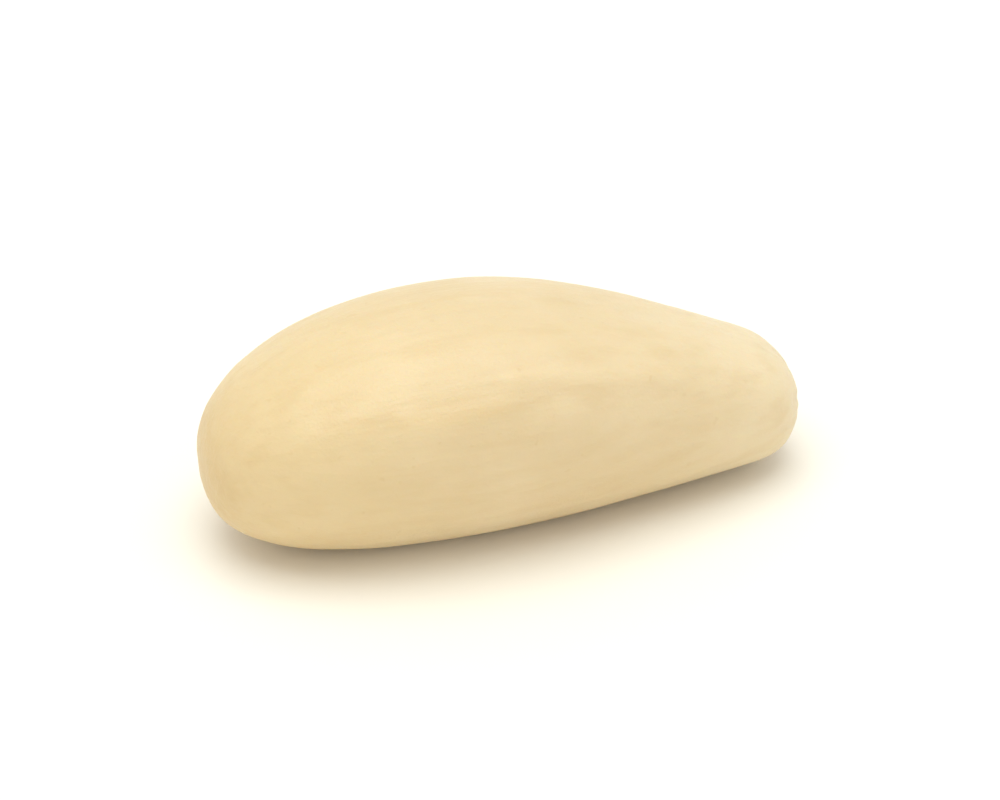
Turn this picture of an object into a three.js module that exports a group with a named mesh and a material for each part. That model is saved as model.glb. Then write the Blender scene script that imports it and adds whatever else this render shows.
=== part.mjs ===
// A shelled pine nut kernel, lying on its side as it comes to rest on a table.
// Millimetres, +Z up. The broad round end points to -X and the blunt narrow tip to +X.
// The origin is in the middle of the bounding box's base, so the kernel stands on Z = 0.
import * as THREE from "three";
import { mergeVertices } from "three/addons/utils/BufferGeometryUtils.js";

const { clamp, degToRad, lerp, radToDeg, smoothstep } = THREE.MathUtils;

// Size: the length over the ends, and the oval across the widest place before its ridges
const LENGTH = 12.6;
const OVAL_WIDTH = 5.24;
const OVAL_HEIGHT = 4.93;

// Outline: a full round end, then an easy shoulder into a straight taper with a blunt cap
const WIDEST_FROM_END = 5.35;
const BROAD_END_FULLNESS = 2.55;
const TAPER_SLOPE = 0.985;
const TAPER_EASE = 0.585;
const TIP_CAP_LENGTH = 1.06;
const TIP_CAP_FULLNESS = 2.55;

// Centre line: the upper side's share of the taper, the sag of the broad end,
// and how far the tip curves away from the front
const UPPER_SHARE_OF_TAPER = 0.8;
const BROAD_END_SAG = 0.5;
const TIP_CURVE = 0.37;

// Three soft ridges run along the kernel. Angles go round from the front (-Y) over the top,
// and a rise is a share of the girth.
const RIDGES = [
  { name: "front", angle: 38, rise: 0.12 },
  { name: "back", angle: 160, rise: 0.1 },
  { name: "under", angle: 281, rise: 0.06 },
];
const RIDGE_REACH = 55;
const RIDGE_AT_BROAD_END = 0.3;
const RIDGE_AT_TIP = 0.75;
const RIDGE_TWIST = 7;

// Shallow hollows: distance from the broad end, angle, length along, width across and depth
const HOLLOWS = [
  { name: "front lower face", fromEnd: 8.2, angle: -12, long: 3, wide: 1.4, deep: 0.08 },
  { name: "dent by the front ridge", fromEnd: 6.5, angle: 34, long: 1, wide: 0.7, deep: 0.05 },
  { name: "top face by the tip", fromEnd: 9.6, angle: 96, long: 2, wide: 0.9, deep: 0.06 },
  { name: "broad end dent", fromEnd: 1.5, angle: 118, long: 1.1, wide: 1.3, deep: 0.05 },
  { name: "back face crease", fromEnd: 6.9, angle: 214, long: 3.6, wide: 0.7, deep: 0.06 },
];

// The small pit in the blunt tip, a little off its middle towards the back and the top
const PIT_MIDDLE = new THREE.Vector2(0.12, 0.1);
const PIT_RADIUS = 0.34;
const PIT_DEPTH = 0.2;

// Resting spot: how far the rounded underside is pressed flat
const REST_DEPTH = 0.14;

// Fineness of the surface
const SIDES = 72;
const RINGS = 60;

const CREAM_FLESH = 0xf0dcab;
const SATIN_ROUGHNESS = 0.55;

// A rounded shoulder: 1 where share is 0, falling to 0 where it is 1. A fullness of 2 is an ellipse.
const roundedOff = (share, fullness) => (1 - clamp(share, 0, 1) ** fullness) ** (1 / fullness);

// The way from one angle to another by the shorter side, in degrees
const turnBetween = (angle, from) => ((((angle - from) % 360) + 540) % 360) - 180;

// How far the taper has drawn the outline in, as a share of the widest girth
function taperDrop(fromEnd) {
  const past = Math.max(fromEnd - WIDEST_FROM_END, 0) / (LENGTH - WIDEST_FROM_END);
  return TAPER_SLOPE * (Math.hypot(past, TAPER_EASE) - TAPER_EASE);
}

// The girth at a distance from the broad end, as a share of the widest
function girthShare(fromEnd) {
  const broadEnd = roundedOff(1 - fromEnd / WIDEST_FROM_END, BROAD_END_FULLNESS);
  const tipCap = roundedOff(1 - (LENGTH - fromEnd) / TIP_CAP_LENGTH, TIP_CAP_FULLNESS);
  return broadEnd * tipCap * (1 - taperDrop(fromEnd));
}

// The rise of the ridges over the oval: each is one smooth wave that ends at its reach
function ridgeRise(fromEnd, angle) {
  const broadEndFade = lerp(RIDGE_AT_BROAD_END, 1, smoothstep(fromEnd, 0, WIDEST_FROM_END));
  const tipFade = lerp(1, RIDGE_AT_TIP, smoothstep(fromEnd, WIDEST_FROM_END, LENGTH));
  const twist = (RIDGE_TWIST * (fromEnd - WIDEST_FROM_END)) / LENGTH;
  let rise = 0;
  for (const ridge of RIDGES) {
    const off = clamp(turnBetween(angle, ridge.angle + twist) / RIDGE_REACH, -1, 1);
    rise += (ridge.rise * (1 + Math.cos(Math.PI * off))) / 2;
  }
  return rise * broadEndFade * tipFade;
}

// How deep the shallow hollows are at a point of the surface
function hollowDepth(fromEnd, angle, radius) {
  let depth = 0;
  for (const hollow of HOLLOWS) {
    const along = (fromEnd - hollow.fromEnd) / (hollow.long / 2);
    const across = (degToRad(turnBetween(angle, hollow.angle)) * radius) / (hollow.wide / 2);
    depth += hollow.deep * Math.exp(-(along ** 2) - across ** 2);
  }
  return depth;
}

// How deep the tip's pit is at a point of the rim, which is measured from the centre line
function pitDepth(rim) {
  return PIT_DEPTH * Math.exp(-((rim.distanceTo(PIT_MIDDLE) / PIT_RADIUS) ** 2));
}

// A point of the surface, with the widest place's centre at Y = Z = 0 and the broad end at X = 0
function surfacePoint(fromEnd, angle) {
  const turn = degToRad(angle);
  const girth = girthShare(fromEnd) * (1 + ridgeRise(fromEnd, angle));
  const rim = new THREE.Vector2(-Math.cos(turn) * OVAL_WIDTH, Math.sin(turn) * OVAL_HEIGHT);
  rim.multiplyScalar(girth / 2);

  const pit = fromEnd > LENGTH - TIP_CAP_LENGTH ? pitDepth(rim) : 0;
  const radius = rim.length();
  rim.setLength(Math.max(radius - hollowDepth(fromEnd, angle, radius), 0));

  const sag = BROAD_END_SAG * Math.max(1 - fromEnd / WIDEST_FROM_END, 0) ** 2;
  const lean = (UPPER_SHARE_OF_TAPER * taperDrop(fromEnd) * OVAL_HEIGHT) / 2;
  const curve = TIP_CURVE * (fromEnd / LENGTH) ** 2;
  return new THREE.Vector3(fromEnd - pit, curve + rim.x, rim.y - sag - lean);
}

// A sphere with its poles along X, each vertex carried to the kernel's surface
function kernelGeometry() {
  let geometry = new THREE.SphereGeometry(1, SIDES, RINGS);
  geometry.deleteAttribute("normal");
  geometry.deleteAttribute("uv");
  geometry = mergeVertices(geometry);

  const vertices = geometry.getAttribute("position");
  for (let i = 0; i < vertices.count; i += 1) {
    const fromEnd = (LENGTH * (1 + vertices.getY(i))) / 2;
    const angle = radToDeg(Math.atan2(vertices.getZ(i), vertices.getX(i)));
    const point = surfacePoint(fromEnd, angle);
    vertices.setXYZ(i, point.x, point.y, point.z);
  }
  return geometry;
}

// Press the underside flat where the weight rests, and move the origin to the middle of the base
function setOnTable(geometry) {
  geometry.computeBoundingBox();
  const table = geometry.boundingBox.min.z + REST_DEPTH;
  const vertices = geometry.getAttribute("position");
  for (let i = 0; i < vertices.count; i += 1) {
    vertices.setZ(i, Math.max(vertices.getZ(i), table));
  }
  geometry.computeBoundingBox();
  const middle = geometry.boundingBox.getCenter(new THREE.Vector3());
  geometry.translate(-middle.x, -middle.y, -table);
  geometry.computeVertexNormals();
  return geometry;
}

const kernel = new THREE.Mesh(
  setOnTable(kernelGeometry()),
  new THREE.MeshStandardMaterial({ color: CREAM_FLESH, roughness: SATIN_ROUGHNESS, metalness: 0 }),
);
kernel.name = "kernel";

const pineNut = new THREE.Group();
pineNut.add(kernel);

export default pineNut;
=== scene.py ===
import math
import random

import bmesh
import bpy
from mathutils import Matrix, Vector


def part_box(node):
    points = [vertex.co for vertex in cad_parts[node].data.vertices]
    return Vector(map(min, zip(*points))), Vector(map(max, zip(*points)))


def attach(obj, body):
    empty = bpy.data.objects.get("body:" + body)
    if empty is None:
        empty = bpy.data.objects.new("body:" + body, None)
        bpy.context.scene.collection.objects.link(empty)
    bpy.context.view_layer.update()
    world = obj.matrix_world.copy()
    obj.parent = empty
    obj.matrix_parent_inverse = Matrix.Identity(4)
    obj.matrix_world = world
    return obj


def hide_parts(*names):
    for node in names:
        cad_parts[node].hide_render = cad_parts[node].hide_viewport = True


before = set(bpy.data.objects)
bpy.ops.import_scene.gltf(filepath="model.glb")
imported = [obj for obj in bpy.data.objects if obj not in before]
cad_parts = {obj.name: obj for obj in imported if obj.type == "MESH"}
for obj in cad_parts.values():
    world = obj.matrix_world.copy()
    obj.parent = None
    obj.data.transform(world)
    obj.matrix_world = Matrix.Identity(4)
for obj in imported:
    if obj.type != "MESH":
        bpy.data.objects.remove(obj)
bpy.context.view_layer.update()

# One shelled pine nut kernel, lying on its side on a pale board under soft light. The broad round
# end points to -X and the narrow tip to +X, and the camera stands in front, on the -Y side. Lengths
# and places are in metres, and angles in degrees.

KERNEL_LOW, KERNEL_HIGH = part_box("kernel")
MM = 0.001

# Driving sizes. The length is taken over the rim of the tip's pit, and the oval is the widest
# section before its ridges are raised.
LENGTH = 12.6 * MM
OVAL_WIDTH = 5.24 * MM
OVAL_HEIGHT = 4.93 * MM

# Outline: a full round end, then an easy shoulder into a straight taper with a blunt cap
WIDEST = 5.35 * MM
BROAD_END_FULLNESS = 2.55
TAPER_SLOPE = 0.985
TAPER_EASE = 0.585
TIP_CAP = 1.06 * MM
TIP_CAP_FULLNESS = 2.55

# Centre line: the upper side's share of the taper, the sag of the broad end, the curve of the tip
UPPER_SHARE_OF_TAPER = 0.8
BROAD_END_SAG = 0.5 * MM
TIP_CURVE = 0.37 * MM

# Soft ridges along the kernel: angle from the front (-Y) over the top, and rise as a share of the
# girth. They reach equally far to both sides, are lower at the ends, and twist along the kernel.
RIDGES = ((38, 0.12), (160, 0.1), (281, 0.06))
RIDGE_REACH = 55
RIDGE_AT_BROAD_END = 0.3
RIDGE_AT_TIP = 0.75
RIDGE_TWIST = 7

# Shallow hollows: distance from the broad end, angle, length, width and depth. The skin round a
# hollow is dragged along within a reach that is a share of its width.
HOLLOWS = (
    (8.2 * MM, -12, 3.0 * MM, 1.4 * MM, 0.05 * MM),
    (8.4 * MM, 16, 2.8 * MM, 1.2 * MM, 0.05 * MM),
    (9.6 * MM, 96, 2.0 * MM, 0.9 * MM, 0.06 * MM),
    (1.5 * MM, 118, 1.3 * MM, 1.3 * MM, 0.03 * MM),
    (6.9 * MM, 214, 3.6 * MM, 0.7 * MM, 0.06 * MM),
)
HOLLOW_REACH = 0.85

# Crests that sharpen the ridges, given as the hollows are, with the height for the depth. The front
# ridge has three in a row: two low ones, then a step up to the one that runs on to the tip.
CRESTS = (
    (2.7 * MM, 36, 2.6 * MM, 0.55 * MM, 0.035 * MM),
    (4.8 * MM, 31, 2.8 * MM, 0.55 * MM, 0.055 * MM),
    (7.9 * MM, 43, 4.3 * MM, 0.55 * MM, 0.06 * MM),
    (6.4 * MM, 160, 7.5 * MM, 0.7 * MM, 0.03 * MM),
)

# The pit in the tip, a little off its middle towards the back and the top. The points at its heart
# are pushed in twice, for a shallow dish and for a deeper middle, each with its reach and depth.
PIT_BACK = 0.12 * MM
PIT_UP = 0.1 * MM
PIT_HEART = 0.11 * MM
PIT_DISH = (0.5 * MM, 0.06 * MM)
PIT_MIDDLE = (0.22 * MM, 0.11 * MM)

# Puckers that run back from the pit: how many, how unevenly they go round it as a share of their
# spacing, and the ranges from which their start, length and depth are drawn
PUCKERS = 9
PUCKER_SCATTER = 0.35
PUCKER_START = (0.3 * MM, 0.55 * MM)
PUCKER_LENGTH = (0.5 * MM, 1.5 * MM)
PUCKER_REACH = 0.17 * MM
PUCKER_DEPTH = (0.018 * MM, 0.036 * MM)

# Relief of the skin: its grain, its depth, and how many times longer it runs along the kernel. A
# cloudy pattern goes from 0 to 1, and its middle neither raises nor sinks the skin.
SWELL = {"grain": 2.8 * MM, "depth": 0.08 * MM, "run": 1.5}
RIPPLE = {"grain": 0.5 * MM, "depth": 0.03 * MM, "run": 6}
CLOUD_MIDDLE = 0.5

# How far the rounded underside is pressed flat, and how much of the relief there is pressed out
REST_DEPTH = 0.14 * MM
REST_EASE = 0.012 * MM

# Fineness: sides and rings of the first ball, its two rounds of subdivision, and the spacing of its
# lines and rings of points after the first round
SIDES = 36
RINGS = 40
FORM_LEVELS = 2
SKIN_LEVELS = 1
LINE_SPACING = 360 / SIDES / 2**FORM_LEVELS
RING_SPACING = LENGTH / RINGS / 2**FORM_LEVELS

# How near a point lies to a ring, in metres, or to a line of points, in degrees, to be on it
ON_RING = 0.001 * MM
ON_LINE = 1

# The puckers' angles, lengths and depths are drawn from one seeded run of chance
SEED = 12
draw = random.Random(SEED)


def rounded_off(share, fullness):
    """A rounded shoulder: 1 where share is 0, falling to 0 where it is 1."""
    share = min(max(share, 0), 1)
    return (1 - share**fullness) ** (1 / fullness)


def smooth_step(share):
    """An easy rise: 0 where share is 0, climbing to 1 where it is 1."""
    share = min(max(share, 0), 1)
    return share * share * (3 - 2 * share)


def turn_between(angle, start):
    """The way from start to angle by the shorter side, in degrees."""
    return (angle - start + 180) % 360 - 180


def taper_drop(from_end):
    """How far the taper has drawn the outline in, as a share of the widest girth."""
    past = max(from_end - WIDEST, 0) / (LENGTH - WIDEST)
    return TAPER_SLOPE * (math.hypot(past, TAPER_EASE) - TAPER_EASE)


def girth_share(from_end):
    """The girth at a distance from the broad end, as a share of the widest."""
    broad_end = rounded_off(1 - from_end / WIDEST, BROAD_END_FULLNESS)
    tip_cap = rounded_off(1 - (LENGTH - from_end) / TIP_CAP, TIP_CAP_FULLNESS)
    return broad_end * tip_cap * (1 - taper_drop(from_end))


def ridge_fade(from_end):
    """How much of the ridges' full height there is at a distance from the broad end."""
    at_broad_end = RIDGE_AT_BROAD_END + (1 - RIDGE_AT_BROAD_END) * smooth_step(from_end / WIDEST)
    past = (from_end - WIDEST) / (LENGTH - WIDEST)
    return at_broad_end * (1 + (RIDGE_AT_TIP - 1) * smooth_step(past))


def ridge_rise(angle):
    """How far the ridges rise at an angle, as a share of the girth. Each is one smooth wave."""
    rise = 0
    for ridge_angle, ridge_share in RIDGES:
        off = min(abs(turn_between(angle, ridge_angle)) / RIDGE_REACH, 1)
        rise += ridge_share * (1 + math.cos(math.pi * off)) / 2
    return rise


def centre_line(from_end):
    """The middle of the section at a distance from the broad end, as a place in the frame's axes."""
    sag = BROAD_END_SAG * max(1 - from_end / WIDEST, 0) ** 2
    lean = UPPER_SHARE_OF_TAPER * taper_drop(from_end) * OVAL_HEIGHT / 2
    curve = TIP_CURVE * (from_end / LENGTH) ** 2
    return Vector((from_end - LENGTH / 2, curve, -sag - lean))


def angle_of(place, centre):
    """The angle of a place round a centre, from the front (-Y) over the top."""
    return math.degrees(math.atan2(place.z - centre.z, centre.y - place.y)) % 360


def select_where(wanted):
    """Selects the points of the mesh in hand for whose place wanted is true, and returns their places."""
    mesh = bpy.context.edit_object.data
    points = bmesh.from_edit_mesh(mesh)
    places = []
    for point in points.verts:
        point.select_set(wanted(point.co))
        if point.select:
            places.append(point.co.copy())
    points.select_flush_mode()
    bmesh.update_edit_mesh(mesh)
    return places


def push(shift, reach):
    """Moves what is selected, and drags along the points within reach of it."""
    bpy.ops.transform.translate(
        value=shift,
        use_proportional_edit=True,
        proportional_edit_falloff="SMOOTH",
        proportional_size=reach,
    )


def finish_modifier(piece, kind, **settings):
    """Adds a modifier to the piece, sets it and applies it."""
    modifier = piece.modifiers.new(kind.lower(), kind)
    for name, value in settings.items():
        setattr(modifier, name, value)
    bpy.ops.object.modifier_apply(modifier=modifier.name)


def lay_ball():
    """Starts the kernel as a ball with its poles along X, as long as the kernel."""
    bpy.ops.object.select_all(action="DESELECT")
    bpy.ops.mesh.primitive_uv_sphere_add(
        segments=SIDES, ring_count=RINGS, radius=LENGTH / 2, rotation=(0, math.pi / 2, 0)
    )
    bpy.ops.object.transform_apply(location=True, rotation=True, scale=True)
    ball = bpy.context.object
    ball.name = "shelled_kernel"
    return ball


def raise_ridges():
    """Draws each line of points that runs from pole to pole out to its height on the three ridges."""
    middle = Vector((0, 0, 0))
    for side in range(SIDES):
        angle = side * 360 / SIDES
        select_where(lambda place: abs(turn_between(angle_of(place, middle), angle)) < ON_LINE
                     and place.yz.length > ON_RING)
        swell = 1 + ridge_rise(angle)
        bpy.ops.transform.resize(value=(1, swell, swell), center_override=middle)


def shape_rings():
    """Evens out, sizes, turns and moves each ring of points to its place along the kernel."""
    mean_rise = sum(share for _, share in RIDGES) * RIDGE_REACH / 360
    for ring in range(RINGS + 1):
        across = -math.cos(math.pi * ring / RINGS) * LENGTH / 2
        from_end = across + LENGTH / 2
        centre = Vector((across, 0, 0))
        places = select_where(lambda place: abs(place.x - across) < ON_RING)
        if 0 < ring < RINGS:
            fade = ridge_fade(from_end)
            bpy.ops.transform.tosphere(value=1 - fade, center_override=centre)
            mean_radius = sum(place.yz.length for place in places) / len(places)
            girth = girth_share(from_end) * (1 + mean_rise * fade)
            width = girth * OVAL_WIDTH / 2 / mean_radius
            height = girth * OVAL_HEIGHT / 2 / mean_radius
            twist = math.radians(RIDGE_TWIST) * (from_end - WIDEST) / LENGTH
            bpy.ops.transform.rotate(value=twist, orient_axis="X", center_override=centre)
            bpy.ops.transform.resize(value=(1, width, height), center_override=centre)
        bpy.ops.transform.translate(value=centre_line(from_end) - centre)


def press_hollow(from_end, angle, long, wide, deep):
    """Presses a line of points of the skin into a shallow hollow, or raises it if deep is negative."""
    centre = centre_line(from_end)
    half_run = max((long - wide) / 2, RING_SPACING)

    def on_line(place):
        if abs(place.x - centre.x) > half_run:
            return False
        local = centre_line(place.x + LENGTH / 2)
        return abs(turn_between(angle_of(place, local), angle)) < LINE_SPACING / 2

    places = select_where(on_line)
    inward = centre - sum(places, Vector()) / len(places)
    push(inward.normalized() * deep, HOLLOW_REACH * wide)


def press_pit():
    """Presses the pit into the blunt end, and returns the place of its middle before that."""
    tip = centre_line(LENGTH)
    pit = tip + Vector((0, PIT_BACK, PIT_UP))

    def in_pit(place):
        return place.x > tip.x - TIP_CAP and (place - pit).yz.length < PIT_HEART

    select_where(in_pit)
    for reach, depth in (PIT_DISH, PIT_MIDDLE):
        push((-depth, 0, 0), reach)
    return pit


def pucker_tip(pit):
    """Presses short creases into the tip, which run back from the pit along the kernel."""
    for pucker in range(PUCKERS):
        angle = (pucker + draw.uniform(-PUCKER_SCATTER, PUCKER_SCATTER)) * 360 / PUCKERS
        start = draw.uniform(*PUCKER_START)
        end = start + draw.uniform(*PUCKER_LENGTH)

        def on_crease(place):
            if not start < (place - pit).length < end:
                return False
            local = centre_line(min(place.x + LENGTH / 2, LENGTH))
            return abs(turn_between(angle_of(place, local), angle)) < LINE_SPACING / 2

        places = select_where(on_crease)
        if places:
            inward = centre_line(LENGTH - TIP_CAP) - sum(places, Vector()) / len(places)
            push(inward.normalized() * draw.uniform(*PUCKER_DEPTH), PUCKER_REACH)


def roughen(piece, name, grain, depth, run):
    """Raises and sinks the skin by a cloudy pattern that runs longer along the kernel."""
    pattern = bpy.data.textures.new(name, "CLOUDS")
    pattern.noise_scale = grain
    guide = bpy.data.objects.new(name, None)
    bpy.context.scene.collection.objects.link(guide)
    guide.scale = (run, 1, 1)
    bpy.context.view_layer.update()
    finish_modifier(
        piece, "DISPLACE", texture=pattern, texture_coords="OBJECT", texture_coords_object=guide,
        strength=depth, mid_level=CLOUD_MIDDLE,
    )
    bpy.data.objects.remove(guide)


def press_flat(table, ease):
    """Presses all that lies below the table, or within ease of it, into its plane."""
    select_where(lambda place: place.z < table + ease)
    bpy.ops.transform.resize(value=(1, 1, 0), center_override=(0, 0, table))


def lowest_point(piece):
    return min(point.co.z for point in piece.data.vertices)


def fit_to_frame(piece):
    """Sets the kernel on the surface in the box that the frame gives it, and returns how places move."""
    low = Vector(min(point.co[axis] for point in piece.data.vertices) for axis in range(3))
    high = Vector(max(point.co[axis] for point in piece.data.vertices) for axis in range(3))
    stretch = [(KERNEL_HIGH[axis] - KERNEL_LOW[axis]) / (high[axis] - low[axis]) for axis in range(3)]
    bpy.ops.object.mode_set(mode="EDIT")
    bpy.ops.mesh.select_all(action="SELECT")
    bpy.ops.transform.resize(value=stretch, center_override=low)
    bpy.ops.transform.translate(value=KERNEL_LOW - low)
    bpy.ops.object.mode_set(mode="OBJECT")

    def settled(place):
        return Vector(KERNEL_LOW[axis] + (place[axis] - low[axis]) * stretch[axis] for axis in range(3))

    return settled


def model_kernel():
    """Models the whole kernel, and returns it and the place of its pit."""
    kernel = lay_ball()
    bpy.ops.object.mode_set(mode="EDIT")
    bpy.ops.mesh.select_mode(type="VERT")
    raise_ridges()
    shape_rings()
    bpy.ops.object.mode_set(mode="OBJECT")
    finish_modifier(kernel, "SUBSURF", levels=FORM_LEVELS, render_levels=FORM_LEVELS)

    bpy.ops.object.mode_set(mode="EDIT")
    for hollow in HOLLOWS:
        press_hollow(*hollow)
    for from_end, angle, long, wide, high in CRESTS:
        press_hollow(from_end, angle, long, wide, -high)
    pit = press_pit()
    pucker_tip(pit)
    bpy.ops.object.mode_set(mode="OBJECT")
    table = lowest_point(kernel) + REST_DEPTH
    bpy.ops.object.mode_set(mode="EDIT")
    press_flat(table, 0)
    bpy.ops.object.mode_set(mode="OBJECT")
    finish_modifier(kernel, "SUBSURF", levels=SKIN_LEVELS, render_levels=SKIN_LEVELS)

    roughen(kernel, "swell", **SWELL)
    roughen(kernel, "ripple", **RIPPLE)
    settled = fit_to_frame(kernel)
    bpy.ops.object.mode_set(mode="EDIT")
    press_flat(0, REST_EASE)
    bpy.ops.object.mode_set(mode="OBJECT")
    bpy.ops.object.shade_smooth()
    return kernel, settled(pit)


# A Mix node has its colour inputs and its colour output at these numbers
UNDER, OVER, MIXED = 6, 7, 2


class Reading:
    """A value that varies over a surface: a shader socket that takes part in sums."""

    def __init__(self, finish, socket):
        self.finish = finish
        self.socket = socket

    def work_out(self, operation, first, second):
        return self.finish.node("ShaderNodeMath", {"operation": operation}, {0: first, 1: second})

    def __add__(self, other):
        return self.work_out("ADD", self, other)

    __radd__ = __add__

    def __sub__(self, other):
        return self.work_out("SUBTRACT", self, other)

    def __rsub__(self, other):
        return self.work_out("SUBTRACT", other, self)

    def __mul__(self, other):
        return self.work_out("MULTIPLY", self, other)

    __rmul__ = __mul__


class Finish:
    """A procedural material and the nodes that it is made of."""

    def __init__(self, name):
        self.material = bpy.data.materials.new(name)
        self.material.use_nodes = True
        self.tree = self.material.node_tree
        self.tree.nodes.clear()

    def node(self, kind, settings, sockets, output=0):
        """Adds a node with its settings first, then the value or link of each socket."""
        node = self.tree.nodes.new(kind)
        for name, value in settings.items():
            setattr(node, name, value)
        for name, value in sockets.items():
            if isinstance(value, Reading):
                self.tree.links.new(value.socket, node.inputs[name])
            else:
                node.inputs[name].default_value = value
        return Reading(self, node.outputs[output]) if node.outputs else None

    def place(self):
        """The place on the object, in its own axes."""
        return self.node("ShaderNodeTexCoord", {}, {}, "Object")

    def blend(self, share, under, over):
        """Lays one colour over another by a share."""
        settings = {"data_type": "RGBA"}
        sockets = {"Factor": share, UNDER: under, OVER: over}
        return self.node("ShaderNodeMix", settings, sockets, MIXED)

    def cloud(self, place, grain, octaves, run=1):
        """A cloudy pattern from 0 to 1 whose spots are as wide as grain, and run times as long."""
        if run != 1:
            place = self.node("ShaderNodeMapping", {}, {"Vector": place, "Scale": (1 / run, 1, 1)})
        return self.node("ShaderNodeTexNoise", {}, {"Vector": place, "Scale": 1 / grain, "Detail": octaves})

    def patches(self, place, start, full, **pattern):
        """Soft patches where the cloudy pattern is high: none below start, whole above full."""
        return self.ramp(self.cloud(place, **pattern), start, full)

    def frayed(self, distance, place, width, **pattern):
        """Shifts a distance to and fro over a width, so that what it bounds ends unevenly."""
        return distance + (self.cloud(place, **pattern) - CLOUD_MIDDLE) * width

    def distance(self, place, centre):
        """How far a place is from a centre."""
        settings = {"operation": "DISTANCE"}
        return self.node("ShaderNodeVectorMath", settings, {0: place, 1: centre}, "Value")

    def ramp(self, reading, start, end):
        """Rises smoothly from 0 to 1 as the reading goes from start to end, which may be the lower."""
        settings = {"interpolation_type": "SMOOTHSTEP"}
        sockets = {"Value": reading, "From Min": start, "From Max": end}
        return self.node("ShaderNodeMapRange", settings, sockets)

    def close(self, sockets):
        """Ends the material in one glossy coloured surface."""
        surface = self.node("ShaderNodeBsdfPrincipled", {}, sockets)
        self.node("ShaderNodeOutputMaterial", {}, {"Surface": surface})
        return self.material


# Colours of the flesh, with one painted light that lightens the tip, and how much of each lies over the
# ivory where its own pattern is full
IVORY = (0.75, 0.605, 0.375, 1)
CREAM = (0.72, 0.57, 0.338, 1)
BUTTER = (0.74, 0.575, 0.3, 1)
# Painted light: a paler, less yellow ivory that lightens the tip as if it caught more light
PAINTED_LIGHT_IVORY = (0.82, 0.71, 0.49, 1)
STRAW = (0.64, 0.46, 0.22, 1)
OCHRE = (0.54, 0.34, 0.11, 1)
RUSSET = (0.3, 0.125, 0.025, 1)
BUTTER_SHARE = 0.5
# Painted light: how much of the paler ivory lies over the tip
PAINTED_LIGHT_SHARE = 0.5
STRAW_SHARE = 0.25
FLECK_SHARE = 0.12
BROAD_END_SHARE = 0.3
HALO_SHARE = 0.3
SCAR_SHARE = 0.85

# Patterns in the flesh: their grain, their octaves, how many times longer they run along the kernel,
# and for patches where they start and where they are full
MOTTLE = {"grain": 2.2 * MM, "octaves": 4, "start": 0.35, "full": 0.65}
STREAK = {"grain": 0.42 * MM, "octaves": 3, "start": 0.42, "full": 0.75, "run": 6}
FLECK = {"grain": 0.2 * MM, "octaves": 1, "start": 0.7, "full": 0.8}
FURROW = {"grain": 0.22 * MM, "octaves": 3, "run": 10}
PORE = {"grain": 0.07 * MM, "octaves": 3}

# Tinted places and the tip's painted light: where each sets in and where it is full, and how its edge is
# frayed. The broad half's and the broad end's are measured inwards along the kernel, and the others from
# the pit's middle.
BROAD_HALF = (6.5 * MM, 1 * MM)
# Painted light on the tip: where it sets in and is full, measured from the pit's middle
PAINTED_LIGHT_TIP = (4.8 * MM, 1 * MM)
PAINTED_LIGHT_TIP_FRAY = {"grain": 1.4 * MM, "octaves": 3, "width": 2.4 * MM}
BROAD_END_TINT = (1.2 * MM, -0.4 * MM)
BROAD_END_FRAY = {"grain": 0.9 * MM, "octaves": 3, "width": 1.6 * MM}
HALO = (0.9 * MM, 0.2 * MM)
HALO_FRAY = {"grain": 0.6 * MM, "octaves": 3, "width": 0.5 * MM}
SCAR = (0.26 * MM, 0.17 * MM)
SCAR_FRAY = {"grain": 0.2 * MM, "octaves": 2, "width": 0.08 * MM}

# Waxy finish: a little glossy, and light passes a short way into it. The pores vary its roughness,
# and the pores and the furrows make up its fine relief by their shares.
FLESH_ROUGHNESS = 0.42
PORE_ROUGHNESS = 0.25
PORE_RELIEF = 0.25
FURROW_RELIEF = 0.6
RELIEF = {"Strength": 1, "Distance": 0.04 * MM}
WAX = {
    "Subsurface Weight": 0.35,
    "Subsurface Radius": (1.0, 0.62, 0.3),
    "Subsurface Scale": 0.6 * MM,
    "IOR": 1.45,
}


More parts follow.
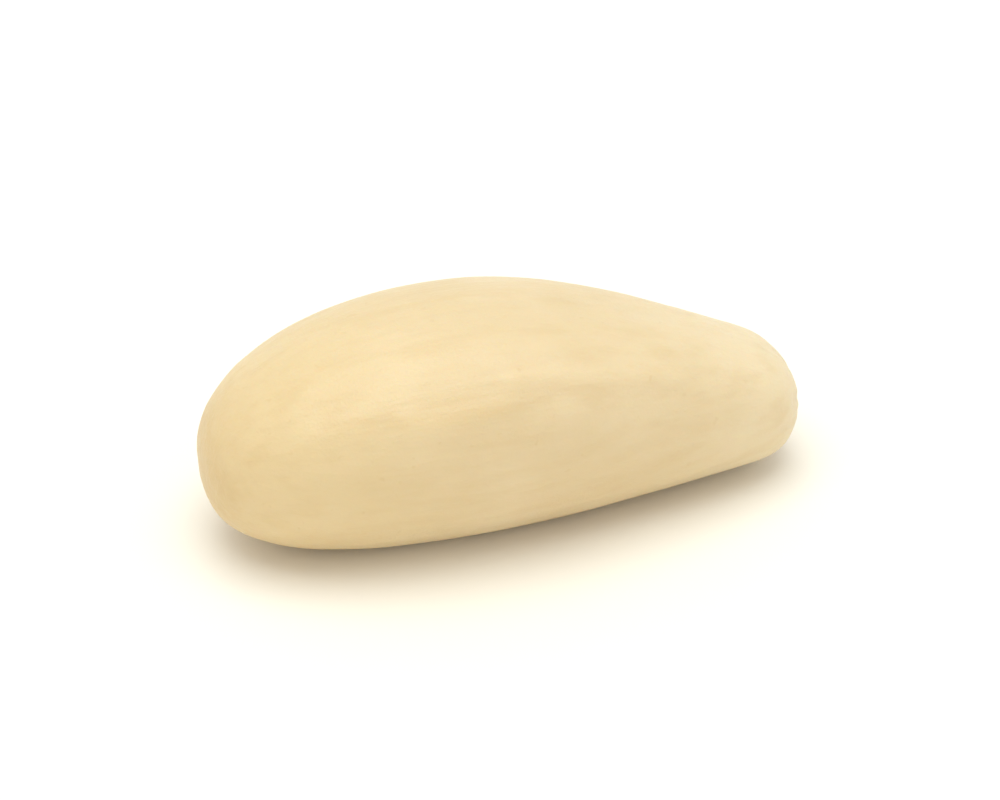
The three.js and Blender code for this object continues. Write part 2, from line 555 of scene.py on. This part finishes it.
def kernel_flesh(pit):
    """Waxy cream flesh: painted light makes the tip paler; mottled, faintly streaked, with a russet scar in
    the pit.
    """
    flesh = Finish("kernel_flesh")
    place = flesh.place()
    from_broad_end = flesh.node("ShaderNodeSeparateXYZ", {}, {"Vector": place}, "X") - KERNEL_LOW.x
    from_pit = flesh.distance(place, pit)

    mottle = flesh.patches(place, **MOTTLE)
    streak = flesh.patches(place, **STREAK)
    fleck = flesh.patches(place, **FLECK)
    furrow = flesh.cloud(place, **FURROW)
    pore = flesh.cloud(place, **PORE)

    broad_half = flesh.ramp(from_broad_end, *BROAD_HALF)
    # Painted light: the tip's paler patch stands in for the light that the tip's end catches
    painted_light_tip = flesh.ramp(flesh.frayed(from_pit, place, **PAINTED_LIGHT_TIP_FRAY), *PAINTED_LIGHT_TIP)
    broad_end = flesh.ramp(flesh.frayed(from_broad_end, place, **BROAD_END_FRAY), *BROAD_END_TINT)
    halo = flesh.ramp(flesh.frayed(from_pit, place, **HALO_FRAY), *HALO)
    scar = flesh.ramp(flesh.frayed(from_pit, place, **SCAR_FRAY), *SCAR)

    colour = flesh.blend(mottle, IVORY, CREAM)
    colour = flesh.blend(broad_half * BUTTER_SHARE, colour, BUTTER)
    # Painted light: paler ivory laid over the tip
    colour = flesh.blend(painted_light_tip * PAINTED_LIGHT_SHARE, colour, PAINTED_LIGHT_IVORY)
    colour = flesh.blend(streak * STRAW_SHARE, colour, STRAW)
    colour = flesh.blend(fleck * FLECK_SHARE, colour, OCHRE)
    colour = flesh.blend(broad_end * BROAD_END_SHARE, colour, OCHRE)
    colour = flesh.blend(halo * HALO_SHARE, colour, OCHRE)
    colour = flesh.blend(scar * SCAR_SHARE, colour, RUSSET)

    relief = pore * PORE_RELIEF + furrow * FURROW_RELIEF
    skin = flesh.node("ShaderNodeBump", {}, {"Height": relief, **RELIEF})
    roughness = (pore - CLOUD_MIDDLE) * PORE_ROUGHNESS + FLESH_ROUGHNESS
    return flesh.close({"Base Color": colour, "Roughness": roughness, "Normal": skin, **WAX})


# Studio: a pale board under an even sky and one soft lamp
FLOOR_SIZE = 3.0
BOARD_WHITE = (0.93, 0.9, 0.83, 1)
BOARD_ROUGHNESS = 0.7
SKY_COLOUR = (1.0, 0.995, 0.98, 1)
SKY_STRENGTH = 0.8
LAMP_PLACE = (-0.035, -0.03, 0.45)
LAMP_SIZE = 0.4
LAMP_WATTS = 1.3
LAMP_COLOUR = (0.975, 1.0, 0.965)

# Camera: the turn is from the kernel's front, and the tilt from the level. The sensor's width is in
# millimetres, and the kernel's share of the frame is that of its length seen square on.
CAMERA_TURN = -15
CAMERA_TILT = 34
CAMERA_DISTANCE = 0.22
NEAREST_SEEN = 0.02
SENSOR_WIDTH = 36.0
KERNEL_SHARE_OF_FRAME = 0.62


def pale_board():
    """A plain, slightly warm white for the board."""
    board = Finish("pale_board")
    return board.close({"Base Color": BOARD_WHITE, "Roughness": BOARD_ROUGHNESS})


def lay_floor():
    """Lays the board under the kernel, as its stage."""
    bpy.ops.mesh.primitive_plane_add(size=FLOOR_SIZE, location=(0, 0, 0))
    floor = bpy.context.object
    floor.name = "floor"
    floor.data.materials.append(pale_board())


def light_sky():
    """Lights the scene evenly from all round."""
    world = bpy.data.worlds.new("soft_white_studio")
    bpy.context.scene.world = world
    world.use_nodes = True
    background = world.node_tree.nodes["Background"]
    background.inputs["Color"].default_value = SKY_COLOUR
    background.inputs["Strength"].default_value = SKY_STRENGTH


def hang_lamp():
    """Hangs a square soft lamp over the kernel, facing it."""
    light = bpy.data.lights.new("overhead_softbox", "AREA")
    light.shape = "SQUARE"
    light.size = LAMP_SIZE
    light.energy = LAMP_WATTS
    light.color = LAMP_COLOUR
    lamp = bpy.data.objects.new("overhead_softbox", light)
    bpy.context.scene.collection.objects.link(lamp)
    lamp.location = LAMP_PLACE
    lamp.rotation_euler = (-lamp.location).to_track_quat("-Z", "Y").to_euler()


def set_camera():
    """Looks at the kernel along the photograph's line of sight, near enough that it fills the frame."""
    turn = math.radians(CAMERA_TURN)
    tilt = math.radians(CAMERA_TILT)
    back = Vector(
        (math.sin(turn) * math.cos(tilt), -math.cos(turn) * math.cos(tilt), math.sin(tilt))
    )
    lens = bpy.data.cameras.new("camera")
    lens.sensor_width = SENSOR_WIDTH
    lens.lens = SENSOR_WIDTH * CAMERA_DISTANCE * KERNEL_SHARE_OF_FRAME / LENGTH
    lens.clip_start = NEAREST_SEEN
    camera = bpy.data.objects.new("camera", lens)
    bpy.context.scene.collection.objects.link(camera)
    camera.location = (KERNEL_LOW + KERNEL_HIGH) / 2 + back * CAMERA_DISTANCE
    camera.rotation_euler = (-back).to_track_quat("-Z", "Y").to_euler()
    bpy.context.scene.camera = camera


kernel, pit = model_kernel()
kernel.data.materials.clear()
kernel.data.materials.append(kernel_flesh(pit))
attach(kernel, "root")
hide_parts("kernel")

lay_floor()
light_sky()
hang_lamp()
set_camera()
# Colours are shown as they are, with no film curve
bpy.context.scene.view_settings.view_transform = "Standard"
